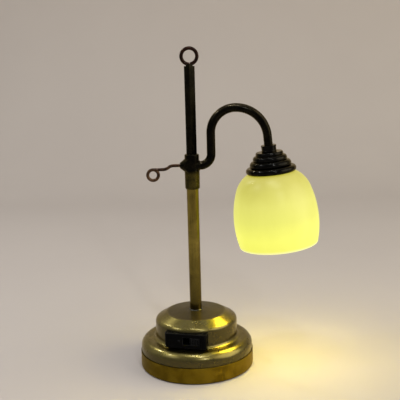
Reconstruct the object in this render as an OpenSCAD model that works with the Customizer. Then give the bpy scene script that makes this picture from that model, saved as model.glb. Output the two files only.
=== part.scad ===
// Battery table lamp: a two-tier spun brass base, a stem, an arm that slides on
// a square rod and is held by an eye screw, and a hanging opal glass shade.
// The origin is the centre of the base on the table, +Z is up, +X is the arm's side.

/* [Base] */
// Diameter of the drum that the lamp stands on
drum_d = 76; // [76:0.5:90]
// Thickness of the drum's cast wall
drum_wall = 2.6; // [2.4:0.1:2.8]
// Round of the drum's bottom edge
drum_round = 1.0; // [0.4:0.1:1]
// Step in from the drum's side to the skirt of the shell
rim_step = 0.5; // [0.3:0.1:0.9]
// Height of the shell's upright skirt above the drum
skirt_h = 2.9; // [2:0.1:4]
// Radius of the lower shoulder
lower_round = 5.6; // [5:0.1:7]
// Diameter of the upper tier
tier_d = 54.8; // [50:0.2:60]
// Fillet between the shelf and the upper tier
tier_fillet = 2.4; // [1:0.1:3]
// Height of the upper tier above the shelf
tier_h = 17; // [15.2:0.1:24]
// Radius of the corner where the upper tier's wall turns into its shoulder
upper_round = 3.1; // [2.4:0.1:4]
// Height of that shoulder above the upright wall
dome_h = 6; // [5.6:0.1:6.6]
// Angle by which the corner turns before it passes into the sloping shoulder
dome_turn = 61; // [56:1:66]
// Width from the wall to the edge of the crown
dome_w = 7.5; // [6.5:0.1:9]
// Rise of the shallow crown up to the stem's seat
crown_rise = 1.2; // [0.4:0.1:2]
// Width of the flat seat round the stem's foot
seat_w = 3.55; // [3.2:0.05:5]
// Thickness of the spun brass
shell_wall = 1.0; // [0.7:0.1:1.1]
// Radial width of the rubber foot ring
foot_w = 1.0; // [0.7:0.1:1.1]
// Height of the rubber foot ring
foot_h = 1.0; // [0.7:0.1:1.2]
// How far the foot ring stands out below the drum
foot_proud = 0.4; // [0.2:0.1:0.6]

/* [Bottom plate and cells] */
// Gap between two cells
cell_gap = 0.2; // [0.1:0.1:0.3]
// Length that a contact spring takes when a cell is in
spring_len = 3.9; // [3:0.1:4]
// Thickness of the bottom plate
plate_t = 1.8; // [1.6:0.1:2]
// How far the plate lies in from the drum's foot
plate_recess = 0.2; // [0.1:0.1:0.4]
// Thickness of the battery door
door_t = 1.35; // [1.2:0.05:1.4]
// Wall of the cell compartment
bay_wall = 0.9; // [0.7:0.1:1]
// Diameter of a base screw's shank
screw_d = 2.6; // [2.2:0.1:3]
// Diameter of a base screw's head
screw_head_d = 4.8; // [4.4:0.1:5.2]

/* [Switch] */
// Direction that the switch faces, turned from the front
switch_bearing = -14; // [-40:1:40]
// Width of the switch bezel
switch_w = 27.6; // [26:0.2:30]
// Height of the switch bezel
switch_h = 9.4; // [9:0.1:10.5]
// Height of the bezel's lower edge above the shelf
switch_lift = 1.8; // [1.2:0.1:3]
// How far the bezel's front stands out of the upper tier
switch_proud = 2.8; // [2:0.1:4]
// Depth of the switch behind its front
switch_depth = 13.2; // [12:0.1:15]
// Round of the bezel's upright corners
switch_round = 1.6; // [0.8:0.1:2.4]
// Width of the knob
knob_w = 5.8; // [5:0.1:6.4]
// Height of the knob
knob_h = 4.4; // [4:0.1:4.8]
// How far the knob stands out of the bezel
knob_proud = 0.7; // [0.3:0.1:1.5]
// Distance from the bezel's right end to the knob's middle at ON
knob_in = 7.4; // [7:0.1:8]
// Travel of the knob from ON to OFF
knob_travel = 5; // [4:0.1:5.6]

/* [Stem and rod] */
// Diameter of the stem tube
stem_d = 7.9; // [7.8:0.1:9]
// Wall of the stem tube
stem_wall = 0.6; // [0.5:0.05:0.8]
// Length of the stem tube above the base
stem_len = 94.9; // [85:0.1:115]
// Wall of the threaded nipple in the stem's foot
nipple_wall = 1.2; // [0.9:0.1:1.4]
// Side of the square rod
rod_w = 4.8; // [4.4:0.05:5.2]
// Length of the rod above the stem
rod_len = 68; // [60:0.1:85]
// Length of the rod inside the stem
rod_plug = 19; // [12:0.5:24]
// Outer diameter of the carrying ring
ring_d = 12.3; // [11:0.1:16]
// Thickness of the carrying ring's wire
ring_wire = 2.3; // [1.6:0.1:2.6]
// How deep the ring sits in the slot of the rod's top
ring_sink = 1.3; // [0.4:0.1:2]

/* [Sleeve and eye screw] */
// Wall of the sleeve round the stem
sleeve_wall = 0.8; // [0.6:0.05:1.4]
// Length of the sleeve's barrel above the stem
barrel_len = 10.3; // [9.4:0.1:13]
// Length of the skirt that covers the stem's upper end
skirt_len = 12.5; // [8:0.5:18]
// Height of the arm's root above the stem
root_up = 2.7; // [2.5:0.1:4]
// Height of the eye screw's hole above the stem
hole_up = 3; // [2.6:0.1:4]
// Thickness of the eye screw
eye_wire = 2.1; // [1.6:0.1:2.4]
// Outer diameter of the screw's eye
eye_d = 9.1; // [8:0.1:12]
// Height that the eye screw's double bend drops
eye_drop = 2.4; // [1.6:0.1:4]

/* [Arm] */
// Diameter of the arm tube
arm_d = 5.7; // [5.4:0.1:6]
// Wall of the arm tube
arm_wall = 0.75; // [0.6:0.05:0.9]
// Radius of the arm's lower bend
heel_r = 7.4; // [6:0.1:9]
// Length of the arm's upright leg
leg_len = 13.55; // [8:0.05:24]
// Radius of the arch's first quarter, up to its top
arch_r1 = 16.05; // [12:0.05:20]
// Radius of the arch's second part, down to the shade
arch_r2 = 20.7; // [16:0.1:26]
// Lean of the shade's axis from upright
shade_lean = 5.5; // [0:0.1:12]
// Length of nipple that shows between the arch and the collar
drop_len = 6.1; // [3:0.1:12]

/* [Shade holder] */
// Diameter of the collar above the holder
collar_d = 9.9; // [9:0.1:12]
// Height of the collar
collar_h = 4.3; // [3:0.1:6]
// Diameter of the holder's top bead
bead1_d = 18.1; // [17:0.1:20]
// Diameter of its second bead
bead2_d = 22.4; // [21.4:0.1:24.6]
// Diameter of its third bead
bead3_d = 27.2; // [26:0.1:29.4]
// Diameter of its lowest bead
bead4_d = 33; // [32:0.1:36]
// Height of the top bead
bead1_h = 2.7; // [2.4:0.1:3.4]
// Height of the second bead
bead2_h = 3.4; // [3:0.1:4]
// Height of the third bead
bead3_h = 4; // [3.6:0.1:4.6]
// Height of the lowest bead
bead4_h = 3.3; // [3:0.1:5]
// How far a bead's round edge runs into its neighbours
bead_lap = 1; // [0.4:0.1:1.4]
// Wall of the holder
holder_wall = 1.1; // [0.9:0.1:1.2]

/* [Shade] */
// Largest diameter of the shade
shade_d = 56; // [53:0.5:62]
// Length of the shade from the holder to the rim
shade_len = 49; // [45:0.5:58]
// Radius of the side's long curve
side_r = 64; // [58:1:80]
// Radius of the shoulder
shoulder_r = 19; // [14:0.5:20]
// Angle above the belly at which the shoulder starts
shoulder_at = 19.4; // [17:0.2:21]
// Thickness of the glass
glass_t = 2; // [1.6:0.1:2.4]
// Gap between the glass and the holder
glass_gap = 0.35; // [0.3:0.05:0.5]

/* [Bulb and socket] */
// Diameter of the bulb's screw cap
cap_d = 9.5; // [9.2:0.1:9.6]
// Length of the bulb's screw cap
cap_len = 8.2; // [7:0.2:9]
// Diameter of the bulb's globe
globe_d = 11.6; // [10:0.2:14]
// Wall of the socket
socket_wall = 1.07; // [0.9:0.01:1.3]

/* [Hidden] */

$fn = 96;
eps = 0.01;
// Radial clearance of a running or seated fit
fit = 0.05;
// Radial clearance of a loose part in its recess
loose = 0.2;

// Base, worked out from the drum
drum_r = drum_d / 2;
drum_foot = foot_proud;
drum_in = drum_r - drum_wall;
foot_r = (drum_in + drum_r - drum_round) / 2;
skirt_r = drum_r - rim_step;
spigot_r = skirt_r - shell_wall - fit;

// Bottom plate and cell bay. The standard cells are AA and AAA, each [diameter, length over its
// terminals]: the drum takes three of the larger kind that fits.
plate_z = drum_foot + plate_recess;
plate_top = plate_z + plate_t;
plate_r = drum_in - loose;
door_top = plate_z + door_t;
contact_t = 0.5;
cell_rise = 0.3;
button_len = 1.3;
button_d = 5.5;
cell_kinds = [[14.5, 50.5], [10.5, 44.5]];
cell_reach = [for (c = cell_kinds) norm([(c[1] + spring_len) / 2 - button_len, 1.5 * c[0] + cell_gap])];
cell_kind = cell_kinds[cell_reach[0] + fit < plate_r - bay_wall ? 0 : 1];
cell_d = cell_kind[0];
cell_len = cell_kind[1];
cell_z = door_top + cell_rise + cell_d / 2;
cell_pitch = cell_d + cell_gap;
bay_l = cell_len + spring_len + 2 * contact_t + 0.1;
bay_w = 3 * cell_d + 2 * cell_gap + 0.5;
bay_top = cell_z + cell_d / 2 + loose;
bay_slope = 1.8;
// Each row is [side of the cell's button, place across the bay]
cell_rows = [[1, -1], [-1, 0], [1, 1]];
door_l = bay_l + 1.0;
door_w = bay_w + 1.0;
door_r = plate_r - bay_wall;
web_l = bay_l - 2 * contact_t - 0.6;

// Heights of the base: the lower tier clears the cell bay, and the rest stands on it
roof_gap = 0.95;
shelf_z = bay_top + bay_wall + roof_gap + shell_wall;
skirt_top = shelf_z - lower_round;
skirt_foot = skirt_top - skirt_h;
seam = 0.1;
drum_top = skirt_foot - seam;
spigot_top = skirt_top + 0.6;
shell_top = shelf_z + tier_h;
crown_z = shell_top + crown_rise;
tier_r = tier_d / 2;
seat_r = stem_d / 2 + seat_w;
corner_z = shell_top - dome_h;
// The slope starts just inside the corner's circle, and crosses it cleanly on its way to the crown
slope_in = 0.005;
crown_r = tier_r - dome_w;

// Screw bosses in the drum
boss_d = 6;
boss_at = drum_in - boss_d / 2 - 0.5;
boss_angle = 64;
boss_h = drum_top - plate_top;
screw_head_h = 1.0;
screw_len = boss_h - 1;

// Switch, in its own frame that faces -Y
cutout_w = switch_w - 3.6;
cutout_h = switch_h - 1.9;
switch_z = shelf_z + switch_lift;
switch_mid = switch_z + switch_h / 2;
switch_front = tier_r + switch_proud;
switch_back = switch_front - switch_depth;
knob_on = switch_w / 2 - knob_in;
bezel_wall = 1.8;
slot_w = knob_w + knob_travel + 2 * loose;
slot_mid = knob_on - knob_travel / 2;
flange_w = knob_w + 2.4;
flange_h = knob_h + 0.8;
flange_t = 1.2;

// Stem, rod and ring
stem_bore = stem_d - 2 * stem_wall;
nipple_d = stem_bore - 2 * fit;
nipple_bore = nipple_d - 2 * nipple_wall;
washer_t = 1;
washer_r = nipple_d / 2 + 3.2;
nut_af = nipple_d + 4.4;
nut_h = 4.5;
stem_foot = crown_z;
stem_top = stem_foot + stem_len;
washer_top = crown_z - shell_wall;
nipple_foot = washer_top - washer_t - nut_h - 3;
nipple_top = stem_foot + 18;
rod_shoulder = stem_top + 0.1;
rod_top = rod_shoulder + rod_len;
rod_corner = rod_w * sqrt(2) / 2;
lead_d = 0.8;
lead_y = 0.65;
// The leads pass the rod's foot in the stem: it is flattened where it would touch them
lead_room = lead_d + 0.14;
ring_r = (ring_d - ring_wire) / 2;
ring_z = rod_top + ring_d / 2 - ring_sink;
ring_stud = 5;

// Sleeve
barrel_r = stem_d / 2 + sleeve_wall;
stop_z = rod_shoulder;
sleeve_foot = stop_z - skirt_len;
sleeve_top = stop_z + barrel_len;
arm_root_z = stop_z + root_up;
screw_hole_z = stop_z + hole_up;
chamber_r = rod_corner + 0.1;
chamber_top = screw_hole_z + 2;
boss_tip = barrel_r + 3.05;
boss_cheek = barrel_r - 0.5;
arm_boss = barrel_r + 0.45;
root_x = barrel_r - 0.9;
arm_bore = arm_d - 2 * arm_wall;

// Arm path in the XZ plane: [length, 0] is straight, [radius, angle] is an arc
arm_path = [[arm_boss + 0.1 - root_x, 0], [heel_r, 90], [leg_len, 0], [arch_r1, -90],
    [arch_r2, shade_lean - 90]];
arm_start = [root_x, arm_root_z, 0];
arm_end = path_point(arm_path, arm_start);

// Eye screw path, from its tip at the rod to the end of its eye
// The screw's tip stands just clear of the rod's corner
tip_x = -ceil((rod_corner + fit) * 20) / 20;
joggle = acos(0.8);
joggle_r = eye_drop / (2 * (1 - cos(joggle)));
eye_r = (eye_d - eye_wire) / 2;
screw_path = [[8.4, 0], [joggle_r, joggle], [joggle_r, -joggle], [6.5, 0], [eye_r, 342]];
screw_start = [tip_x, screw_hole_z, 180];

// Shade holder, in the frame of the shade: +Z runs up the arm, 0 is the holder's foot
bead_d = [bead1_d, bead2_d, bead3_d, bead4_d];
bead_h = [bead1_h, bead2_h, bead3_h, bead4_h];
// Radius at which a bead's round edge starts, and how far the holder is hollow inside it
function bead_core(i) = (bead_d[i] - bead_h[i]) / 2;
function bead_foot(i) = holder_h - sum(bead_h, i);
bead_skin = 0.7;
holder_h = sum(bead_h, 3);
gallery_r = bead_d[3] / 2 - holder_wall;
gallery_top = bead4_h - holder_wall;
pipe_nut_h = 2.2;
pipe_nut_af = 9;
nipple_up = holder_h + collar_h + drop_len;
nut_z = holder_h - holder_wall;

// Shade
belly_r = shade_d / 2;
neck_r = gallery_r - glass_gap;
neck_top = gallery_top - glass_gap;
side_x = belly_r - side_r;
shoulder_x = side_x + (side_r - shoulder_r) * cos(shoulder_at);
// Depth of the widest place: the shoulder passes just below the holder's rim
belly_s = (side_r - shoulder_r) * sin(shoulder_at) + glass_gap
    + sqrt(pow(shoulder_r, 2) - pow(gallery_r - shoulder_x, 2));
shoulder_z = -belly_s + (side_r - shoulder_r) * sin(shoulder_at);
blend_z = -belly_s + side_r * sin(shoulder_at);
rim_r = side_x + sqrt(pow(side_r - glass_t / 2, 2) - pow(shade_len - glass_t / 2 - belly_s, 2));

// Bulb and socket
socket_bore = cap_d + 0.16;
socket_d = socket_bore + 2 * socket_wall;
socket_foot = 0.6;
socket_top = nut_z - pipe_nut_h - 0.2;
socket_roof = 2.4;
cap_top = socket_top - socket_roof - 0.8;
globe_z = cap_top - cap_len - globe_d / 2 - 1.2;

brass = [0.55, 0.47, 0.22];
bronze = [0.20, 0.17, 0.10];
copper = [0.30, 0.20, 0.13];
black = [0.06, 0.06, 0.06];
steel = [0.70, 0.70, 0.72];
opal = [0.93, 0.92, 0.55];

// Helpers

function sum(v, last, i = 0) = i == last ? v[i] : v[i] + sum(v, last, i + 1);

// State [x, z, heading] after one piece of a path
function path_step(s, piece) = piece[1] == 0
    ? [s[0] + piece[0] * cos(s[2]), s[1] + piece[0] * sin(s[2]), s[2]]
    : let (turn = sign(piece[1]), h = s[2] + piece[1])
        [s[0] + piece[0] * turn * (sin(h) - sin(s[2])),
         s[1] - piece[0] * turn * (cos(h) - cos(s[2])), h];

function path_point(path, start, i = 0) = i == len(path)
    ? start
    : path_point(path, path_step(start, path[i]), i + 1);

// Round bar along a path of straights and arcs in the XZ plane
module bent_bar(path, start, d, i = 0) {
    if (i < len(path)) {
        piece = path[i];
        heading = start[2];
        if (piece[1] == 0) {
            translate([start[0], 0, start[1]])
                rotate([0, 90 - heading, 0])
                    cylinder(d = d, h = piece[0]);
        } else {
            turn = sign(piece[1]);
            reach = piece[0] * turn;
            centre = [start[0] - reach * sin(heading), start[1] + reach * cos(heading)];
            first = turn > 0 ? heading - 90 : heading + 90 + piece[1];
            translate([centre[0], 0, centre[1]])
                rotate([90, 0, 0])
                    rotate_extrude(angle = abs(piece[1]), start = first)
                        translate([piece[0], 0])
                            circle(d = d);
        }
        bent_bar(path, path_step(start, piece), d, i + 1);
    }
}

// Moves children to the shade's frame, whose origin is the middle of the holder's foot
module at_shade() {
    translate([arm_end[0], 0, arm_end[1]])
        rotate([0, -shade_lean, 0])
            translate([0, 0, -nipple_up])
                children();
}

module at_switch() {
    rotate([0, 0, switch_bearing])
        children();
}

module ring_of(r_out, r_in, z_low, z_high) {
    translate([0, 0, z_low])
        difference() {
            cylinder(r = r_out, h = z_high - z_low);
            translate([0, 0, -1])
                cylinder(r = r_in, h = z_high - z_low + 2);
        }
}

// Block centred on X and Y, with rounded upright corners
module rounded_block(w, d, h, r) {
    linear_extrude(h)
        union() {
            square([w - 2 * r, d], center = true);
            square([w, d - 2 * r], center = true);
            for (x = [-1, 1], y = [-1, 1])
                translate([x * (w / 2 - r), y * (d / 2 - r)])
                    circle(r = r);
        }
}

// Half section of the base shell, drawn in by a wall thickness
module shell_outline(inset) {
    translate([0, skirt_foot - 2])
        square([skirt_r - inset, skirt_top - skirt_foot + 2]);
    translate([skirt_r - lower_round, skirt_top])
        circle(r = lower_round - inset);
    translate([0, skirt_foot])
        square([skirt_r - lower_round, shelf_z - inset - skirt_foot]);
    difference() {
        translate([0, shelf_z - inset - eps])
            square([tier_r + tier_fillet, tier_fillet + inset + eps]);
        translate([tier_r + tier_fillet, shelf_z + tier_fillet])
            circle(r = tier_fillet + inset);
    }
    square([tier_r - inset, corner_z]);
    translate([tier_r - upper_round, corner_z])
        circle(r = upper_round - inset);
    from_r = tier_r - upper_round + (upper_round - inset - slope_in) * cos(dome_turn);
    from_z = corner_z + (upper_round - inset - slope_in) * sin(dome_turn);
    polygon([
        [0, corner_z], [tier_r - upper_round, corner_z], [from_r, from_z],
        [crown_r, from_z + (from_r - crown_r) / tan(dome_turn)], [seat_r, crown_z - inset], [0, crown_z - inset]
    ]);
}

// Outer shape of the cell bay: its corners follow the drum and the lower shoulder
module bay_envelope(inset) {
    rotate_extrude()
        polygon([[0, 0], [plate_r - inset, 0], [plate_r - inset, bay_top - bay_slope],
            [plate_r - inset - bay_slope, bay_top + bay_wall - inset], [0, bay_top + bay_wall - inset]]);
}

module at_bosses() {
    for (a = [boss_angle, 180 - boss_angle, 180 + boss_angle, -boss_angle])
        rotate([0, 0, a])
            translate([boss_at, 0, 0])
                children();
}

// Sub-parts of the base

module base_shell() color(brass) {
    difference() {
        rotate_extrude()
            intersection() {
                difference() {
                    shell_outline(0);
                    shell_outline(shell_wall);
                }
                translate([0, skirt_foot])
                    square([drum_d, shell_top * 2]);
            }
        translate([0, 0, crown_z - 2 * shell_wall])
            cylinder(d = nipple_d + 2 * fit, h = 3 * shell_wall);
        at_switch()
            translate([-cutout_w / 2, -tier_r - 2, switch_mid - cutout_h / 2])
                cube([cutout_w, tier_r - switch_back + 1, cutout_h]);
    }
}

module base_drum() color(brass) {
    difference() {
        union() {
            difference() {
                rotate_extrude()
                    union() {
                        translate([0, drum_foot + drum_round])
                            square([drum_r, drum_top - drum_foot - drum_round - 0.4]);
                        translate([0, drum_foot])
                            square([drum_r - drum_round, drum_top - drum_foot]);
                        translate([drum_r - drum_round, drum_foot + drum_round])
                            circle(r = drum_round);
                        translate([drum_r - 0.4 - drum_round, drum_top - 0.8])
                            square([drum_round, 0.8]);
                        translate([drum_r - 0.4, drum_top - 0.4])
                            circle(r = 0.4);
                        translate([0, drum_top - 1])
                            square([spigot_r, spigot_top - drum_top + 1]);
                    }
                translate([0, 0, -1])
                    cylinder(r = drum_in, h = spigot_top + 2);
            }
            at_bosses() {
                translate([0, 0, plate_top])
                    cylinder(d = boss_d, h = boss_h);
                translate([0, -1, plate_top])
                    cube([drum_in + 0.4 - boss_at, 2, boss_h]);
            }
        }
        at_bosses()
            translate([0, 0, plate_top - 1])
                cylinder(d = screw_d + 2 * fit, h = screw_len + 0.5);
        ring_of(foot_r + foot_w / 2 + fit, foot_r - foot_w / 2 - fit, drum_foot - 1, foot_h + fit);
    }
}

module foot_ring() color(black)
    ring_of(foot_r + foot_w / 2, foot_r - foot_w / 2, 0, foot_h);

module bottom_plate() color(black) {
    difference() {
        union() {
            translate([0, 0, plate_z])
                cylinder(r = plate_r, h = plate_t);
            intersection() {
                translate([-bay_l / 2 - bay_wall, -bay_w / 2 - bay_wall, plate_z])
                    cube([bay_l + 2 * bay_wall, bay_w + 2 * bay_wall, cell_d * 2]);
                bay_envelope(0);
            }
        }
        difference() {
            intersection() {
                translate([-bay_l / 2, -bay_w / 2, -1])
                    cube([bay_l, bay_w, cell_d * 2]);
                bay_envelope(bay_wall);
            }
            for (side = [-1, 1])
                translate([-web_l / 2, side * cell_pitch / 2, 0])
                    rotate([90, 0, 90])
                        linear_extrude(web_l)
                            polygon([[-0.6, cell_z + cell_d / 4], [0.6, cell_z + cell_d / 4],
                                [2.8, bay_top + 1], [-2.8, bay_top + 1]]);
        }
        intersection() {
            translate([-door_l / 2 - loose, -door_w / 2 - loose, plate_z - 1])
                cube([door_l + 2 * loose, door_w + 2 * loose, door_t + 1 + fit]);
            cylinder(r = door_r + loose, h = plate_top + 1);
        }
        at_bosses() {
            translate([0, 0, plate_z - 1])
                cylinder(d = screw_d + 2 * loose, h = plate_t + 2);
            translate([0, 0, plate_z - 1])
                cylinder(d = screw_head_d + 2 * loose, h = 1 + screw_head_h);
        }
    }
}

module battery_door() color(black) {
    difference() {
        intersection() {
            translate([-door_l / 2, -door_w / 2, plate_z])
                cube([door_l, door_w, door_t]);
            cylinder(r = door_r, h = door_top);
        }
        for (i = [0:3])
            translate([door_l / 2 - 6 - 2 * i, -6, plate_z - 1])
                cube([1, 12, 1.6]);
    }
}

module base_screws() color(steel) {
    at_bosses() {
        difference() {
            translate([0, 0, plate_z])
                cylinder(d = screw_head_d, h = screw_head_h);
            for (a = [0, 90])
                rotate([0, 0, a])
                    translate([-1.4, -0.3, plate_z - 1])
                        cube([2.8, 0.6, 1.6]);
        }
        translate([0, 0, plate_z + screw_head_h])
            cylinder(d = screw_d, h = plate_top + screw_len - 1 - plate_z - screw_head_h);
    }
}

// One cell along X, its button at +X against the contact
module cell() {
    rotate([0, 90, 0]) {
        cylinder(d = cell_d, h = cell_len - button_len);
        translate([0, 0, cell_len - button_len])
            cylinder(d = button_d, h = button_len);
    }
}

module battery_cells() color(copper) {
    for (row = cell_rows)
        translate([0, row[1] * cell_pitch, cell_z])
            rotate([0, 0, row[0] > 0 ? 0 : 180])
                translate([bay_l / 2 - contact_t - fit - cell_len, 0, 0])
                    cell();
}

module battery_contacts() color(steel) {
    contact_h = cell_d * 0.72;
    single_w = cell_d * 0.6;
    for (side = [-1, 1]) {
        x = side > 0 ? bay_l / 2 - contact_t : -bay_l / 2;
        translate([x, -side * cell_pitch - single_w / 2, cell_z - contact_h / 2])
            cube([contact_t, single_w, contact_h]);
        translate([x, side > 0 ? -single_w / 2 : -cell_pitch - single_w / 2, cell_z - contact_h / 2])
            cube([contact_t, single_w + cell_pitch, contact_h]);
    }
}

// Conical contact springs, drawn as thin cones
module battery_springs() color(steel) {
    for (row = cell_rows)
        translate([0, row[1] * cell_pitch, cell_z])
            rotate([0, 0, row[0] > 0 ? 180 : 0])
                translate([bay_l / 2 - contact_t, 0, 0])
                    rotate([0, -90, 0])
                        difference() {
                            cylinder(r1 = 3.9, r2 = 2.3, h = spring_len - fit);
                            translate([0, 0, -eps])
                                cylinder(r1 = 3.1, r2 = 1.5, h = spring_len + 2 * eps);
                        }
}

// Switch

module switch_housing() color(black) {
    difference() {
        at_switch()
            difference() {
                union() {
                    difference() {
                        translate([0, -(switch_front + switch_back) / 2, switch_z])
                            rounded_block(switch_w, switch_front - switch_back, switch_h, switch_round);
                        rotate([0, 0, -switch_bearing])
                            rotate_extrude()
                                shell_outline(0);
                    }
                    translate([-cutout_w / 2 + 0.15, -switch_front + 1, switch_mid - cutout_h / 2 + 0.15])
                        cube([cutout_w - 0.3, switch_front - 1 - switch_back, cutout_h - 0.3]);
                    for (side = [-1, 1])
                        translate([side * (cutout_w / 2 - 0.3), 0, switch_mid - 2])
                            linear_extrude(4)
                                polygon([[0, -switch_back - 1], [side * 0.9, -switch_back - 4.4],
                                    [0, -switch_back - 4.4]]);
                }
                translate([slot_mid - slot_w / 2, -switch_front - 1, switch_mid - knob_h / 2 - loose])
                    cube([slot_w, bezel_wall + 2, knob_h + 2 * loose]);
                translate([slot_mid - (flange_w + knob_travel) / 2 - loose, -switch_front + bezel_wall,
                        switch_mid - flange_h / 2 - loose])
                    cube([flange_w + knob_travel + 2 * loose, 6, flange_h + 2 * loose]);
            }
    }
    at_switch()
        translate([slot_mid - slot_w / 2 - 2.6, -switch_front + 0.2, switch_mid])
            rotate([90, 0, 0])
                cylinder(d = 1.2, h = 0.5);
}

module switch_knob() color(black) {
    at_switch()
        translate([knob_on, 0, switch_mid]) {
            difference() {
                translate([-knob_w / 2, -switch_front - knob_proud, -knob_h / 2])
                    cube([knob_w, knob_proud + bezel_wall + 0.4, knob_h]);
                for (x = [-1.6, 0, 1.6])
                    translate([x - 0.4, -switch_front - knob_proud - 1, -knob_h])
                        cube([0.8, 1.4, 2 * knob_h]);
            }
            translate([-flange_w / 2, -switch_front + bezel_wall + 0.3, -flange_h / 2])
                cube([flange_w, flange_t, flange_h]);
            translate([-1.2, -switch_front + bezel_wall + 0.3 + flange_t, -1.2])
                cube([2.4, 2.6, 2.4]);
        }
}

module switch_terminals() color(steel) {
    at_switch()
        for (x = [-6, 0, 6])
            translate([x - 1.2, -switch_back, switch_mid - 0.4])
                difference() {
                    cube([2.4, 4.5, 0.8]);
                    translate([1.2, 3.2, -1])
                        cylinder(d = 1.1, h = 3);
                }
}

// Stem, rod and ring

module stem_nipple() color(steel)
    ring_of(nipple_d / 2, nipple_bore / 2, nipple_foot, nipple_top);

module stem_washer() color(steel)
    ring_of(washer_r, nipple_d / 2 + fit, washer_top - washer_t, washer_top);

module stem_nut() color(steel)
    translate([0, 0, washer_top - washer_t - nut_h])
        difference() {
            cylinder(d = nut_af / cos(30), h = nut_h, $fn = 6);
            translate([0, 0, -1])
                cylinder(d = nipple_d + 2 * fit, h = nut_h + 2);
        }

module stem_tube() color(brass)
    ring_of(stem_d / 2, stem_bore / 2, stem_foot, stem_top);

// Square bar: its corners are turned off inside the stem and eased at the top
module upper_rod() color(bronze) {
    turned_r = stem_bore / 2 - fit;
    foot = rod_shoulder - rod_plug;
    flat = stem_bore / 2 - lead_room;
    difference() {
        intersection() {
            rotate([0, 0, 45])
                translate([-rod_w / 2, -rod_w / 2, foot])
                    cube([rod_w, rod_w, rod_top - foot]);
            rotate_extrude()
                polygon([
                    [0, foot - 1], [turned_r, foot - 1], [turned_r, rod_shoulder], [rod_w, rod_shoulder],
                    [rod_w, rod_top - 1.4], [rod_w * 0.6, rod_top + 0.1], [0, rod_top + 0.1]
                ]);
        }
        for (a = [45 : 90 : 315])
            rotate([0, 0, a])
                translate([flat, -rod_w, foot - 1])
                    cube([rod_w, 2 * rod_w, rod_plug + 1]);
        translate([0, 0, rod_top - ring_stud - 0.3])
            cylinder(d = ring_wire + 2 * fit, h = ring_stud + 1);
        translate([-rod_w, -ring_wire / 2 - fit, rod_top - ring_sink - fit])
            cube([2 * rod_w, ring_wire + 2 * fit, ring_sink + 1]);
    }
}

module top_ring() color(bronze) {
    difference() {
        union() {
            translate([0, 0, ring_z])
                rotate([90, 0, 0])
                    rotate_extrude()
                        translate([ring_r, 0])
                            circle(d = ring_wire);
            translate([0, 0, rod_top - ring_stud])
                cylinder(d = ring_wire, h = ring_stud - ring_sink + ring_wire / 2);
        }
        translate([0.2, 2, ring_z - ring_r + ring_wire * 0.1])
            rotate([90, 0, 0])
                linear_extrude(4)
                    polygon([[0, 0], [0.7, ring_wire], [-0.7, ring_wire]]);
    }
}

// Two leads from the switch, bent out beside the rod's flats
module stem_leads() color(copper) {
    far = (stem_bore - lead_room) / 2;
    swing_r = (far - lead_y) / (2 * (1 - cos(joggle)));
    foot = nipple_foot - 1.5;
    bend_z = nipple_top + 10;
    for (side = [135, 225])
        rotate([0, 0, side])
            bent_bar([[bend_z - foot, 0], [swing_r, joggle], [swing_r, -joggle],
                [stem_top - bend_z - 2 * swing_r * sin(joggle), 0]], [-lead_y, foot, 90], lead_d);
}

// Sleeve, screw and arm

module clamp_sleeve() color(bronze) {
    top_round = 0.7;
    difference() {
        union() {
            rotate_extrude()
                union() {
                    polygon([
                        [0, sleeve_foot], [barrel_r - 0.35, sleeve_foot],
                        [barrel_r + 0.05, sleeve_foot + 0.7], [barrel_r + 0.15, stop_z - 1],
                        [barrel_r, stop_z + 1], [0, stop_z + 1]
                    ]);
                    translate([0, stop_z])
                        square([barrel_r, sleeve_top - top_round - stop_z]);
                    translate([barrel_r - top_round, sleeve_top - top_round])
                        circle(r = top_round);
                    translate([0, stop_z])
                        square([barrel_r - top_round, sleeve_top - stop_z]);
                }
            intersection() {
                translate([-boss_tip, 0, screw_hole_z])
                    rotate([0, 90, 0])
                        cylinder(r1 = eye_wire / 2 + 0.75, r2 = barrel_r + 2.05, h = boss_tip - 1.6);
                translate([-boss_tip - 1, -boss_cheek, sleeve_foot])
                    cube([boss_tip + 1, 2 * boss_cheek, sleeve_top - 0.5 - sleeve_foot]);
            }
            translate([0, 0, arm_root_z])
                rotate([0, 90, 0])
                    cylinder(r1 = arm_d / 2 + 2.05, r2 = arm_d / 2 + 0.4, h = arm_boss);
        }
        translate([0, 0, sleeve_foot - 1])
            cylinder(d = stem_d + 2 * fit, h = stop_z - sleeve_foot + 1);
        translate([0, 0, stop_z - 1])
            cylinder(r = chamber_r, h = chamber_top - stop_z + 1);
        rotate([0, 0, 45])
            translate([-rod_w / 2 - fit, -rod_w / 2 - fit, chamber_top - 1])
                cube([rod_w + 2 * fit, rod_w + 2 * fit, sleeve_top]);
        translate([root_x - fit, 0, arm_root_z])
            rotate([0, 90, 0])
                cylinder(d = arm_d + 2 * fit, h = 6);
        translate([1, 0, arm_root_z])
            rotate([0, 90, 0])
                cylinder(d = arm_bore, h = root_x);
        translate([-boss_tip - 1, 0, screw_hole_z])
            rotate([0, 90, 0])
                cylinder(d = eye_wire + 2 * fit, h = boss_tip);
    }
}

module eye_screw() color(copper)
    bent_bar(screw_path, screw_start, eye_wire);

module arm_tube() color(bronze)
    difference() {
        bent_bar(arm_path, arm_start, arm_d);
        bent_bar(arm_path, arm_start, arm_bore);
    }

module arm_collar() color(bronze)
    at_shade()
        translate([0, 0, holder_h])
            rotate_extrude()
                difference() {
                    union() {
                        square([collar_d / 2 - 0.15, collar_h]);
                        square([collar_d / 2, 0.9]);
                        translate([0, collar_h - 0.9])
                            square([collar_d / 2, 0.9]);
                    }
                    square([arm_d + 2 * fit, 4 * collar_h], center = true);
                }

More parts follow.
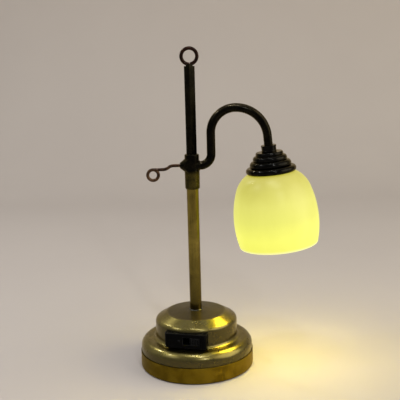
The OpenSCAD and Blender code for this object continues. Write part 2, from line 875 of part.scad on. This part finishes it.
module shade_holder() color(bronze)
    at_shade()
        rotate_extrude()
            difference() {
                intersection() {
                    union()
                        for (i = [0:3]) {
                            translate([bead_core(i) - bead_lap / 2, bead_foot(i) + bead_h[i] / 2])
                                circle(d = bead_h[i] + bead_lap);
                            translate([0, bead_foot(i)])
                                square([bead_core(i) - bead_lap / 2, bead_h[i]]);
                        }
                    square([bead4_d, holder_h]);
                }
                square([gallery_r, gallery_top]);
                for (i = [0:2])
                    square([bead_core(i) - bead_skin, bead_foot(i) + bead_h[i] - holder_wall]);
                square([arm_d / 2 + fit, holder_h + 1]);
                translate([0, -1])
                    square([gallery_r, 2]);
            }

module holder_nut() color(steel)
    at_shade()
        translate([0, 0, nut_z - pipe_nut_h])
            difference() {
                cylinder(d = pipe_nut_af / cos(30), h = pipe_nut_h, $fn = 6);
                translate([0, 0, -1])
                    cylinder(d = arm_d + 2 * fit, h = pipe_nut_h + 2);
            }

module lamp_socket() color(black)
    at_shade()
        difference() {
            union() {
                translate([0, 0, socket_foot])
                    cylinder(d = socket_d, h = socket_top - socket_foot);
                translate([0, 0, socket_top - 1])
                    cylinder(d = arm_bore - 2 * fit, h = 4);
            }
            translate([0, 0, socket_foot - 1])
                cylinder(d = socket_bore, h = socket_top - socket_roof - socket_foot + 1);
            cylinder(d = 2.6, h = holder_h * 2);
        }

module socket_contact() color(steel)
    at_shade()
        translate([0, 0, cap_top + 0.05])
            ring_of(cap_d / 3, 0.9, 0, 0.7);

// Short straight nipple that carries the collar, the holder and the socket
module arm_nipple() color(bronze)
    at_shade()
        ring_of(arm_d / 2, arm_bore / 2, nut_z - 2.4, nipple_up);

// Two leads inside the arm, from the sleeve to the socket
module arm_leads() color(copper)
    for (y = [-1, 1]) {
        translate([0, y * lead_y, 0])
            bent_bar(arm_path, arm_start, lead_d);
        at_shade()
            translate([0, y * lead_y, socket_top - socket_roof])
                cylinder(d = lead_d, h = nipple_up - socket_top + socket_roof);
    }

module bulb_cap() color(steel)
    at_shade() {
        translate([0, 0, cap_top - cap_len])
            cylinder(d = cap_d, h = cap_len - 1.6);
        translate([0, 0, cap_top - 1.6])
            cylinder(d1 = cap_d, d2 = cap_d * 0.53, h = 1.2);
        translate([0, 0, cap_top - 0.4])
            cylinder(d = cap_d * 0.38, h = 0.4);
    }

module bulb_globe() color(opal)
    at_shade()
        union() {
            translate([0, 0, globe_z])
                sphere(d = globe_d);
            translate([0, 0, globe_z])
                cylinder(d = cap_d - 0.8, h = cap_top - cap_len - globe_z);
        }

// Half section of the shade's outside, drawn in by the glass thickness
module shade_outline(inset) {
    intersection() {
        translate([side_x, -belly_s])
            circle(r = side_r - inset, $fn = 360);
        translate([0, -shade_len - 1])
            square([shade_d, shade_len + 1 + blend_z]);
    }
    intersection() {
        translate([shoulder_x, shoulder_z])
            circle(r = shoulder_r - inset);
        translate([0, blend_z - eps])
            square([shade_d, shade_len]);
    }
    translate([0, blend_z - eps])
        square([shoulder_x, shoulder_z + shoulder_r - inset - blend_z + eps]);
    translate([0, shoulder_z])
        square([neck_r - inset, neck_top + inset - shoulder_z]);
}

module shade() color(opal)
    at_shade()
        rotate_extrude()
            union() {
                intersection() {
                    difference() {
                        shade_outline(0);
                        shade_outline(glass_t);
                    }
                    translate([0, -shade_len + glass_t / 2])
                        square([shade_d, shade_len * 2]);
                }
                translate([rim_r, -shade_len + glass_t / 2])
                    circle(d = glass_t);
            }

base_shell();
base_drum();
foot_ring();
bottom_plate();
battery_door();
base_screws();
battery_cells();
battery_contacts();
battery_springs();
switch_housing();
switch_knob();
switch_terminals();
stem_nipple();
stem_washer();
stem_nut();
stem_tube();
upper_rod();
top_ring();
stem_leads();
clamp_sleeve();
eye_screw();
arm_tube();
arm_nipple();
arm_collar();
shade_holder();
holder_nut();
lamp_socket();
socket_contact();
arm_leads();
bulb_cap();
bulb_globe();
shade();
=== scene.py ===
"""Looks of the battery table lamp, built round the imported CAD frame. Metres, +Z up, arm towards +X."""

import math

import bmesh
import bpy
from mathutils import Matrix, Vector


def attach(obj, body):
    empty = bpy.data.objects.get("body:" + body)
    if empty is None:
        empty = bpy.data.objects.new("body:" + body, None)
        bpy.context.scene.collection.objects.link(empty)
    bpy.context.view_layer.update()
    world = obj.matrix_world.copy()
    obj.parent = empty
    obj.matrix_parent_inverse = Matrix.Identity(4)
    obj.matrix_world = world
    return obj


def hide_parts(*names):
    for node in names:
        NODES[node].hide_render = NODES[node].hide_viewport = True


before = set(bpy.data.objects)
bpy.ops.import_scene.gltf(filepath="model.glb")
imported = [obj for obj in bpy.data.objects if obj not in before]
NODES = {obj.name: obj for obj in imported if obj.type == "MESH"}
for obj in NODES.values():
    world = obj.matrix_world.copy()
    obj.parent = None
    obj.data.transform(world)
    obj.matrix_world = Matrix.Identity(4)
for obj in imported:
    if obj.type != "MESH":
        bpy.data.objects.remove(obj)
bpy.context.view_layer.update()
MM = 0.001

# Shade's frame: the middle of the holder's foot, and the axis that points down out of the shade
LEAN = math.radians(5.5)
SHADE_AT = Vector((0.051636, 0.0, 0.130294))
SHADE_DOWN = Vector((math.sin(LEAN), 0.0, -math.cos(LEAN)))
SHADE_DEPTH = 0.049


# Material building blocks


class Maker:
    """A material with one Principled shader; every method adds a node and returns its output."""

    def __init__(self, name, **values):
        self.m = bpy.data.materials.new(name)
        self.m.use_nodes = True
        self.nt = self.m.node_tree
        self.nt.nodes.clear()
        self.out = self.nt.nodes.new("ShaderNodeOutputMaterial")
        self.p = self.nt.nodes.new("ShaderNodeBsdfPrincipled")
        self.nt.links.new(self.p.outputs[0], self.out.inputs[0])
        for key, value in values.items():
            self.p.inputs[key.replace("_", " ")].default_value = value
        self.coord = self.nt.nodes.new("ShaderNodeTexCoord").outputs["Object"]

    def put(self, socket, value):
        if isinstance(value, bpy.types.NodeSocket):
            self.nt.links.new(value, socket)
        elif value is not None:
            socket.default_value = value

    def to(self, name, value):
        self.put(self.p.inputs[name], value)

    def math(self, op, a, b=None, clamp=False):
        n = self.nt.nodes.new("ShaderNodeMath")
        n.operation = op
        n.use_clamp = clamp
        for i, v in enumerate((a, b)):
            self.put(n.inputs[i], v)
        return n.outputs[0]

    def scaled(self, vector, scale):
        n = self.nt.nodes.new("ShaderNodeMapping")
        self.put(n.inputs["Vector"], vector)
        n.inputs["Scale"].default_value = scale
        return n.outputs[0]

    def axis(self, name, vector=None):
        n = self.nt.nodes.new("ShaderNodeSeparateXYZ")
        self.put(n.inputs[0], vector or self.coord)
        return n.outputs[name]

    def along(self, origin, direction):
        """Distance along a direction from a point, in metres."""
        return self.vector("DOT_PRODUCT", self.vector("SUBTRACT", self.coord, origin), direction, "Value")

    def facing_out(self, origin, direction):
        """Above zero where the surface faces away from the line through origin along direction."""
        away = self.vector("SUBTRACT", self.coord, origin)
        along = self.nt.nodes.new("ShaderNodeVectorMath")
        along.operation = "SCALE"
        along.inputs[0].default_value = direction
        self.put(along.inputs["Scale"], self.along(origin, direction))
        return self.vector("DOT_PRODUCT", self.vector("SUBTRACT", away, along.outputs[0]), self.face(), "Value")

    def face(self):
        """The surface's own normal."""
        return self.nt.nodes.new("ShaderNodeNewGeometry").outputs["Normal"]

    def wear_and_glint_edges(self, radius):
        """One along edges sharper than the radius, zero on the faces, and the bevelled normal."""
        n = self.nt.nodes.new("ShaderNodeBevel")
        n.samples = 6
        n.inputs["Radius"].default_value = radius
        same = self.vector("DOT_PRODUCT", n.outputs[0], self.face(), "Value")
        return self.span(self.math("SUBTRACT", 1.0, same), 0.004, 0.10), n.outputs[0]

    def vector(self, op, a, b, output=0):
        n = self.nt.nodes.new("ShaderNodeVectorMath")
        n.operation = op
        self.put(n.inputs[0], a)
        self.put(n.inputs[1], b)
        return n.outputs[output]

    def combine(self, x, y, z):
        n = self.nt.nodes.new("ShaderNodeCombineXYZ")
        for i, v in enumerate((x, y, z)):
            self.put(n.inputs[i], v)
        return n.outputs[0]

    def radius(self):
        """Distance from the lamp's upright axis."""
        x, y = self.axis("X"), self.axis("Y")
        return self.math("SQRT", self.math("ADD", self.math("MULTIPLY", x, x), self.math("MULTIPLY", y, y)))

    def noise(self, scale, detail=4, rough=0.55, vector=None, distortion=0.0):
        n = self.nt.nodes.new("ShaderNodeTexNoise")
        self.put(n.inputs["Vector"], vector or self.coord)
        n.inputs["Scale"].default_value = scale
        n.inputs["Detail"].default_value = detail
        n.inputs["Roughness"].default_value = rough
        n.inputs["Distortion"].default_value = distortion
        return n.outputs["Fac"]

    def span(self, value, lo, hi, out_lo=0.0, out_hi=1.0):
        """Smooth step of a value from lo to hi."""
        n = self.nt.nodes.new("ShaderNodeMapRange")
        n.interpolation_type = "SMOOTHSTEP"
        self.put(n.inputs["Value"], value)
        for key, v in (("From Min", lo), ("From Max", hi), ("To Min", out_lo), ("To Max", out_hi)):
            self.put(n.inputs[key], v)
        return n.outputs[0]

    def mix(self, fac, a, b):
        n = self.nt.nodes.new("ShaderNodeMix")
        n.data_type = "RGBA"
        self.put(n.inputs["Factor"], fac)
        for key, v in ((6, a), (7, b)):
            self.put(n.inputs[key], v if isinstance(v, bpy.types.NodeSocket) else (*v, 1.0))
        return n.outputs[2]

    def ramp(self, fac, stops):
        n = self.nt.nodes.new("ShaderNodeValToRGB")
        self.put(n.inputs[0], fac)
        while len(n.color_ramp.elements) < len(stops):
            n.color_ramp.elements.new(0.5)
        for e, (at, colour) in zip(n.color_ramp.elements, stops):
            e.position = at
            e.color = (*colour, 1.0)
        return n.outputs[0]

    def bump(self, height, distance, strength=1.0, normal=None):
        n = self.nt.nodes.new("ShaderNodeBump")
        n.inputs["Strength"].default_value = strength
        n.inputs["Distance"].default_value = distance
        self.put(n.inputs["Height"], height)
        if normal is not None:
            self.put(n.inputs["Normal"], normal)
        return n.outputs[0]


def times(colour, factor):
    return tuple(c * factor for c in colour)


EDGE_R = 0.0002
SEAM_HALF = 0.00012
# Colour of the crown's top, darkened as painted shade
CROWN_PAINTED_SHADE = (0.052, 0.039, 0.018)


def aged_metal(name, light, dark, rough, patches, coat, grain=None, seam=None, side_shade=1.0, crown=None, foot=None,
               wear_and_glint_gain=1.6, painted_top_highlight=None, specks=0.22, skirt=None, vary=0.06):
    """Brass or bronze with an old finish: soft patina clouds, fine specks, lighter edges for wear and painted
    glints, and the maker's grain.

    patches and grain give the clouds' scale and the tool marks, side_shade darkens upright faces as painted shade,
    seam, crown, foot and skirt give the height or radius of a dark line, a duller top with painted shade, a foot
    darkened as painted shade and a brass lower end;
    painted_top_highlight lightens upward faces as a painted highlight.
    skirt give the height or radius of a dark line, a duller top, a darker foot and a brass lower end.
    """
    k = Maker(name, Metallic=1.0, Coat_Weight=coat, Coat_Roughness=0.15, Coat_IOR=1.5,
              Specular_Tint=(1.0, 0.90, 0.65, 1.0))
    clouds = k.span(k.noise(patches, 4, 0.5, distortion=0.8), 0.36, 0.66)
    fine = k.span(k.noise(patches * 14, 3, 0.6), 0.52, 0.75)
    colour = k.mix(clouds, dark, light)
    # Painted shade: upright faces are darkened to stand for the dark surroundings they reflect.
    if side_shade < 1.0:
        upright = k.span(k.math("ABSOLUTE", k.axis("Z", k.face())), 0.05, 0.60, 1.0, 0.0)
        colour = k.mix(upright, colour, times(dark, side_shade))
    colour = k.mix(k.math("MULTIPLY", fine, specks), colour, times(dark, 0.45))
    if skirt is not None:
        top, brass = skirt
        bare = k.span(k.noise(patches * 1.5, 3, 0.5), 0.30, 0.60, 0.35, 1.0)
        below = k.span(k.axis("Z"), top - 0.0025, top + 0.0020, 0.85, 0.0)
        colour = k.mix(k.math("MULTIPLY", bare, below), colour, brass)
    # Painted highlight: upward faces are lightened as if lit from above.
    if painted_top_highlight is not None:
        colour = k.mix(k.span(k.axis("Z", k.face()), 0.25, 0.85, 0.0, 0.8), colour, painted_top_highlight)
    if grain == "drawn":
        streaks = k.noise(1.0, 4, 0.6, vector=k.scaled(k.coord, (2600, 2600, 45)))
        colour = k.mix(k.span(streaks, 0.42, 0.72, 0.0, 0.45), colour, times(light, 1.25))
    # Painted shade: the stem is darkened towards its foot near the base.
    if foot is not None:
        colour = k.mix(k.span(k.axis("Z"), foot, foot + 0.048, 0.88, 0.0), colour, times(dark, 0.38))
    # Lighter edges: wear, and a painted highlight along the edges.
    wear_and_glint, soft_normal = k.wear_and_glint_edges(EDGE_R)
    colour = k.mix(k.math("MULTIPLY", wear_and_glint, 0.7), colour, times(light, wear_and_glint_gain))
    if seam is not None:
        off_seam = k.math("ABSOLUTE", k.math("SUBTRACT", k.axis("Z"), seam))
        colour = k.mix(k.span(off_seam, SEAM_HALF, 0.00050, 0.8, 0.0), colour, times(dark, 0.12))
    gloss = k.span(k.noise(patches * 3, 4, 0.6), 0.3, 0.72, rough - vary * 0.5, rough + vary)
    if crown is not None:
        # The crown's top is rougher, and its colour is darkened as painted shade.
        inner = k.span(k.radius(), crown - 0.0020, crown + 0.0008, 1.0, 0.0)
        gloss = k.math("ADD", gloss, k.math("MULTIPLY", inner, 0.22))
        colour = k.mix(k.math("MULTIPLY", inner, 0.75), colour, CROWN_PAINTED_SHADE)
    k.to("Base Color", colour)
    k.to("Roughness", gloss)
    normal = k.bump(k.noise(patches * 2.5, 2, 0.45), 0.00008, 0.06, soft_normal)
    if grain == "spun":
        rings = k.combine(k.radius(), k.axis("Z"), 0.0)
        normal = k.bump(k.noise(4200, 2, 0.5, vector=rings), 0.00001, 0.12, normal)
    if grain == "drawn":
        normal = k.bump(k.noise(1.0, 2, 0.5, vector=k.scaled(k.coord, (4000, 4000, 50))), 0.00001, 0.4, normal)
    k.to("Normal", normal)
    return k


# Heights and radius of the base's marks: seam of shell and drum, edge of the crown, and the stem's foot
SEAM_Z = 0.01125
CROWN_R = 0.0199
STEM_FOOT = 0.038
# Height of the sleeve's lower end that is worn through to the brass
SKIRT_TOP = 0.1315
BLACK_LIGHT, BLACK_DARK = (0.009, 0.0078, 0.0042), (0.0035, 0.003, 0.002)

# The shell's upright faces and its crown top are darkened as painted shade.
SHELL = aged_metal("aged_brass_spun", (0.205, 0.170, 0.046), (0.145, 0.117, 0.030), 0.28, 70, 0.35, "spun", SEAM_Z,
                   side_shade=0.48, crown=CROWN_R, wear_and_glint_gain=1.2, specks=0.10, vary=0.03)
DRUM = aged_metal("aged_brass_cast", (0.185, 0.125, 0.010), (0.112, 0.073, 0.005), 0.42, 80, 0.0, seam=SEAM_Z,
                  specks=0.15)
# The stem is darkened towards its foot as painted shade.
STEM = aged_metal("aged_brass_drawn", (0.245, 0.188, 0.036), (0.12, 0.090, 0.016), 0.17, 70, 0.1, "drawn",
                  foot=STEM_FOOT, specks=0.12)
# The last colour is a painted highlight on upward faces.
BRONZE = aged_metal("dark_bronze", BLACK_LIGHT, BLACK_DARK, 0.24, 160, 0.05, wear_and_glint_gain=3.0, painted_top_highlight=(0.050, 0.039, 0.023))
HOLDER = aged_metal("dark_holder", (0.007, 0.0066, 0.0058), (0.003, 0.0029, 0.0027), 0.20, 160, 0.10, wear_and_glint_gain=3.0)
SLEEVE = aged_metal("dark_sleeve", BLACK_LIGHT, BLACK_DARK, 0.26, 160, 0.05, wear_and_glint_gain=3.0,
                    skirt=(SKIRT_TOP, (0.085, 0.068, 0.015)))
COPPER = aged_metal("dark_copper", (0.105, 0.060, 0.034), (0.030, 0.016, 0.011), 0.30, 240, 0.10)
RING = aged_metal("dark_ring", (0.028, 0.012, 0.008), (0.012, 0.005, 0.004), 0.32, 240, 0.10)


def black_plastic():
    k = Maker("black_plastic", Specular_IOR_Level=0.03)
    wear_and_glint, soft_normal = k.wear_and_glint_edges(0.00025)
    face = k.mix(k.noise(500, 3), (0.0010, 0.0010, 0.0012), (0.0024, 0.0024, 0.0027))
    # Greyer edges: wear, and a painted glint along the edges.
    k.to("Base Color", k.mix(wear_and_glint, face, (0.045, 0.046, 0.050)))
    k.to("Roughness", k.span(k.noise(900, 4), 0.3, 0.7, 0.24, 0.38))
    k.to("Normal", k.bump(k.noise(4200, 2), 0.00003, 0.4, soft_normal))
    return k


def moulded_plate():
    k = Maker("moulded_plate", Roughness=0.55)
    k.to("Base Color", k.mix(k.noise(260, 3), (0.022, 0.021, 0.020), (0.038, 0.036, 0.034)))
    k.to("Normal", k.bump(k.noise(2600, 3), 0.00005, 0.7))
    return k


def rubber():
    k = Maker("foot_rubber", Roughness=0.8)
    k.to("Base Color", k.mix(k.noise(420, 4), (0.018, 0.018, 0.018), (0.045, 0.043, 0.040)))
    k.to("Normal", k.bump(k.noise(3000, 3), 0.00006, 0.7))
    return k


def plated(name, colour, rough):
    k = Maker(name, Metallic=1.0, Roughness=rough)
    k.to("Base Color", k.mix(k.span(k.noise(700, 4), 0.35, 0.7), colour, times(colour, 0.72)))
    k.to("Roughness", k.span(k.noise(1500, 3), 0.3, 0.7, rough - 0.05, rough + 0.12))
    k.to("Normal", k.bump(k.noise(3800, 2), 0.00002, 0.5))
    return k


def sheath():
    k = Maker("lead_sheath", Roughness=0.45)
    k.to("Base Color", k.mix(k.noise(600, 3), (0.30, 0.04, 0.03), (0.40, 0.07, 0.05)))
    return k


def opal_glass():
    """Lit opal glass: duller at the shoulder and brightest above the rim outside, hot yellow inside."""
    k = Maker("opal_glass", Roughness=0.38, Specular_IOR_Level=0.35)
    depth = k.math("DIVIDE", k.along(SHADE_AT, SHADE_DOWN), SHADE_DEPTH)
    cloud = k.noise(60, 3, 0.5, vector=k.scaled(k.coord, (1.0, 1.0, 0.35)))
    at = k.math("ADD", depth, k.math("MULTIPLY", k.math("SUBTRACT", cloud, 0.5), 0.14), clamp=True)
    outside = k.ramp(at, [(0.0, (0.39, 0.35, 0.028)), (0.16, (0.48, 0.455, 0.058)), (0.36, (0.62, 0.61, 0.105)),
                          (0.58, (0.68, 0.685, 0.105)), (0.82, (0.83, 0.84, 0.110)), (0.97, (0.79, 0.80, 0.100))])
    pale_rim, hot_top, hot_rim = (0.88, 0.88, 0.42), (12.8, 10.5, 1.4), (10.4, 8.7, 1.15)
    outside = k.mix(k.span(depth, 0.955, 0.995, 0.0, 0.8), outside, pale_rim)
    inside = k.mix(k.span(depth, 0.1, 1.0), hot_top, hot_rim)
    out = k.span(k.facing_out(SHADE_AT, SHADE_DOWN), -0.002, 0.002)
    # The glow outside and inside is painted light: the bulb's light through the opal and on the inner glass.
    k.to("Emission Color", k.mix(out, inside, outside))
    k.to("Base Color", k.mix(k.span(cloud, 0.3, 0.7), (0.21, 0.20, 0.085), (0.25, 0.24, 0.11)))
    k.p.inputs["Emission Strength"].default_value = 1.0
    k.to("Normal", k.bump(k.noise(110, 2, 0.4), 0.0002, 0.10))
    return k


def lit_bulb():
    k = Maker("frosted_bulb", Roughness=0.35)
    k.to("Base Color", k.mix(k.noise(900, 3), (0.90, 0.88, 0.78), (0.97, 0.95, 0.88)))
    k.p.inputs["Emission Color"].default_value = (1.0, 0.84, 0.30, 1.0)
    k.p.inputs["Emission Strength"].default_value = 38.0
    return k


PLASTIC = black_plastic()
PLATE = moulded_plate()
RUBBER = rubber()
STEEL = plated("zinc_steel", (0.62, 0.62, 0.63), 0.32)
NICKEL = plated("nickel", (0.70, 0.68, 0.62), 0.22)
CELL = plated("cell_can", (0.30, 0.32, 0.36), 0.35)
SOLDER = plated("solder", (0.085, 0.082, 0.070), 0.26)
SHEATH = sheath()
OPAL = opal_glass()
BULB = lit_bulb()

LOOK = {
    "base_shell": SHELL, "base_drum": DRUM, "foot_ring": RUBBER, "bottom_plate": PLATE, "battery_door": PLATE,
    "base_screws": STEEL, "battery_cells": CELL, "battery_contacts": NICKEL, "battery_springs": NICKEL,
    "switch_housing": PLASTIC, "switch_knob": PLASTIC, "switch_terminals": NICKEL, "stem_nipple": STEEL,
    "stem_washer": STEEL, "stem_nut": STEEL, "stem_tube": STEM, "upper_rod": BRONZE, "top_ring": RING,
    "stem_leads": SHEATH, "clamp_sleeve": SLEEVE, "eye_screw": COPPER, "arm_tube": BRONZE, "arm_nipple": BRONZE,
    "arm_collar": HOLDER, "shade_holder": HOLDER, "holder_nut": STEEL, "lamp_socket": PLASTIC,
    "socket_contact": NICKEL, "arm_leads": SHEATH, "bulb_cap": NICKEL, "bulb_globe": BULB, "shade": OPAL,
}
for node, look in LOOK.items():
    mesh = NODES[node].data
    mesh.materials.clear()
    mesh.materials.append(look.m)


# Pieces too fine for the CAD solids


def turned(name, rows, at, axis, look, body, around=64, thread=None):
    """Closed piece of revolution about an axis through at, from rows of (radius, height) along it.

    Rows that end where they began make a ring, and others get a flat face at each end. A thread of
    (pitch, depth, low, high) is pressed into the rows between its two heights.
    """
    to_axis = Vector((0.0, 0.0, 1.0)).rotation_difference(axis).to_matrix()
    bm = bmesh.new()
    rings = []
    closed = rows[0] == rows[-1]
    for radius, height in rows[:-1] if closed else rows:
        ring = []
        for i in range(around):
            turn = i / around
            r = radius
            if thread is not None:
                pitch, depth, low, high = thread
                if low <= height <= high:
                    ease = min(1.0, (height - low) / pitch, (high - height) / pitch)
                    r -= depth * ease * (0.5 - 0.5 * math.cos(2 * math.pi * (height / pitch - turn)))
            point = Vector((r * math.cos(2 * math.pi * turn), r * math.sin(2 * math.pi * turn), height))
            ring.append(bm.verts.new(Vector(at) + to_axis @ point))
        rings.append(ring)
    pairs = list(zip(rings, rings[1:])) + ([(rings[-1], rings[0])] if closed else [])
    for low_ring, high_ring in pairs:
        for i in range(around):
            j = (i + 1) % around
            bm.faces.new((low_ring[i], low_ring[j], high_ring[j], high_ring[i]))
    if not closed:
        bm.faces.new(list(reversed(rings[0])))
        bm.faces.new(rings[-1])
    bmesh.ops.recalc_face_normals(bm, faces=bm.faces)
    mesh = bpy.data.meshes.new(name)
    bm.to_mesh(mesh)
    bm.free()
    mesh.polygons.foreach_set("use_smooth", [len(p.vertices) == 4 for p in mesh.polygons])
    mesh.materials.append(look.m)
    o = bpy.data.objects.new(name, mesh)
    bpy.context.scene.collection.objects.link(o)
    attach(o, body)
    return o


def solder_fillet():
    """Run of solder round the stem's foot, hollow from the tube to the shell's crown."""
    tube_r, fillet_r, sunk = 3.90 * MM, 0.65 * MM, STEM_FOOT - 0.05 * MM
    arc = [math.radians(a) for a in range(0, 91, 10)]
    rows = [(tube_r, sunk), (tube_r + fillet_r, sunk)]
    rows += [(tube_r + fillet_r * (1 - math.sin(a)), STEM_FOOT + fillet_r * (1 - math.cos(a))) for a in arc]
    rows.append(rows[0])
    turned("stem_solder", rows, (0.0, 0.0, 0.0), Vector((0.0, 0.0, 1.0)), SOLDER, "base", around=96)


def threaded_cap():
    """The bulb's screw shell with its rolled thread, insulator and centre contact."""
    shell_r, low, high, roll = 4.75 * MM, -1.5 * MM, 5.1 * MM, 0.12 * MM
    steps = 66
    nose = ((3.1, 5.75), (2.5, 6.28), (1.8, 6.34), (1.75, 6.52), (1.45, 6.66), (0.9, 6.7))
    rows = [(shell_r - 0.35 * MM, low)]
    rows += [(shell_r, low + roll + (high - low - 2 * roll) * i / steps) for i in range(steps + 1)]
    rows += [(shell_r - 0.5 * MM, high)] + [(r * MM, z * MM) for r, z in nose]
    o = turned("bulb_screw_shell", rows, SHADE_AT, -SHADE_DOWN, NICKEL, "bulb", around=72,
               thread=(1.55 * MM, 0.42 * MM, low + 0.3 * MM, high - 0.2 * MM))
    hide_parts("bulb_cap")


solder_fillet()
threaded_cap()


# Stage: a pale floor that rises into a pale backdrop


def stage_sheet():
    k = Maker("pale_floor", Roughness=0.75)
    k.to("Base Color", k.mix(k.noise(6, 3), (0.50, 0.455, 0.430), (0.54, 0.495, 0.465)))
    front, bend, back, top, wide = -1.4, 0.30, 0.55, 1.6, 1.6
    outline = [(front, 0.0), (back, 0.0)]
    outline += [(back + bend * math.sin(math.radians(a)), bend - bend * math.cos(math.radians(a)))
                for a in range(6, 91, 6)]
    outline.append((back + bend, top))
    bm = bmesh.new()
    rows = [[bm.verts.new((x, y, z)) for y, z in outline] for x in (-wide, wide)]
    for i in range(len(outline) - 1):
        bm.faces.new((rows[0][i], rows[1][i], rows[1][i + 1], rows[0][i + 1]))
    mesh = bpy.data.meshes.new("stage_floor")
    bm.to_mesh(mesh)
    bm.free()
    mesh.polygons.foreach_set("use_smooth", [True] * len(mesh.polygons))
    mesh.materials.append(k.m)
    o = bpy.data.objects.new("stage_floor", mesh)
    bpy.context.scene.collection.objects.link(o)


def area_light(name, at, size, energy, colour=(1.0, 1.0, 1.0), target=(0.0, 0.0, 0.08)):
    data = bpy.data.lights.new(name, "AREA")
    data.shape = "DISK"
    data.size = size
    data.energy = energy
    data.color = colour
    o = bpy.data.objects.new(name, data)
    o.location = at
    o.rotation_euler = (Vector(target) - Vector(at)).to_track_quat("-Z", "Y").to_euler()
    bpy.context.scene.collection.objects.link(o)


def toward(azimuth, elevation, distance):
    a, e = math.radians(azimuth), math.radians(elevation)
    return Vector((math.cos(a) * math.cos(e), math.sin(a) * math.cos(e), math.sin(e))) * distance


stage_sheet()
world = bpy.data.worlds.new("studio")
bpy.context.scene.world = world
world.use_nodes = True
sky = world.node_tree.nodes["Background"]
sky.inputs["Color"].default_value = (1.0, 0.975, 0.95, 1.0)
sky.inputs["Strength"].default_value = 0.30
area_light("warm_side", (0.95, -0.30, 0.55), 1.10, 8.0, (1.0, 0.90, 0.66))
area_light("window", (-0.90, -0.45, 0.90), 0.60, 1.0, (0.97, 0.98, 1.0))
area_light("overhead", (0.10, 0.15, 1.20), 1.20, 1.3)
area_light("back_left", (-0.80, 0.55, 0.45), 1.20, 0.7, (1.0, 0.95, 0.86))
# Azimuth and elevation of the small lights that make the white specks on the shell
SPARKS = ((145, 48), (-171, 55), (-115, 80), (-75, 66), (-73, 36))
SPARK_FAR, SPARK_SIZE, SPARK_POWER = 0.9, 0.04, 0.8
for i, (az, el) in enumerate(SPARKS):
    area_light(f"spark_{i}", toward(az, el, SPARK_FAR), SPARK_SIZE, SPARK_POWER, target=(0.0, 0.0, 0.03))


# Camera at the photograph's angle


# Place, tilt down and turn, worked out from the photograph's view of the lamp
CAMERA_AT = (0.00463, -0.49007, 0.20965)
CAMERA_TILT, CAMERA_TURN, CAMERA_LENS = 11.183, -1.502, 68.4


def camera():
    data = bpy.data.cameras.new("photo_camera")
    data.sensor_width = 36.0
    data.lens = CAMERA_LENS
    data.clip_start = 0.01
    o = bpy.data.objects.new("photo_camera", data)
    o.matrix_world = (
        Matrix.Translation(CAMERA_AT)
        @ Matrix.Rotation(math.radians(90 - CAMERA_TILT), 4, "X")
        @ Matrix.Rotation(math.radians(CAMERA_TURN), 4, "Z")
    )
    bpy.context.scene.collection.objects.link(o)
    bpy.context.scene.camera = o


camera()
bpy.context.scene.view_settings.view_transform = "Standard"
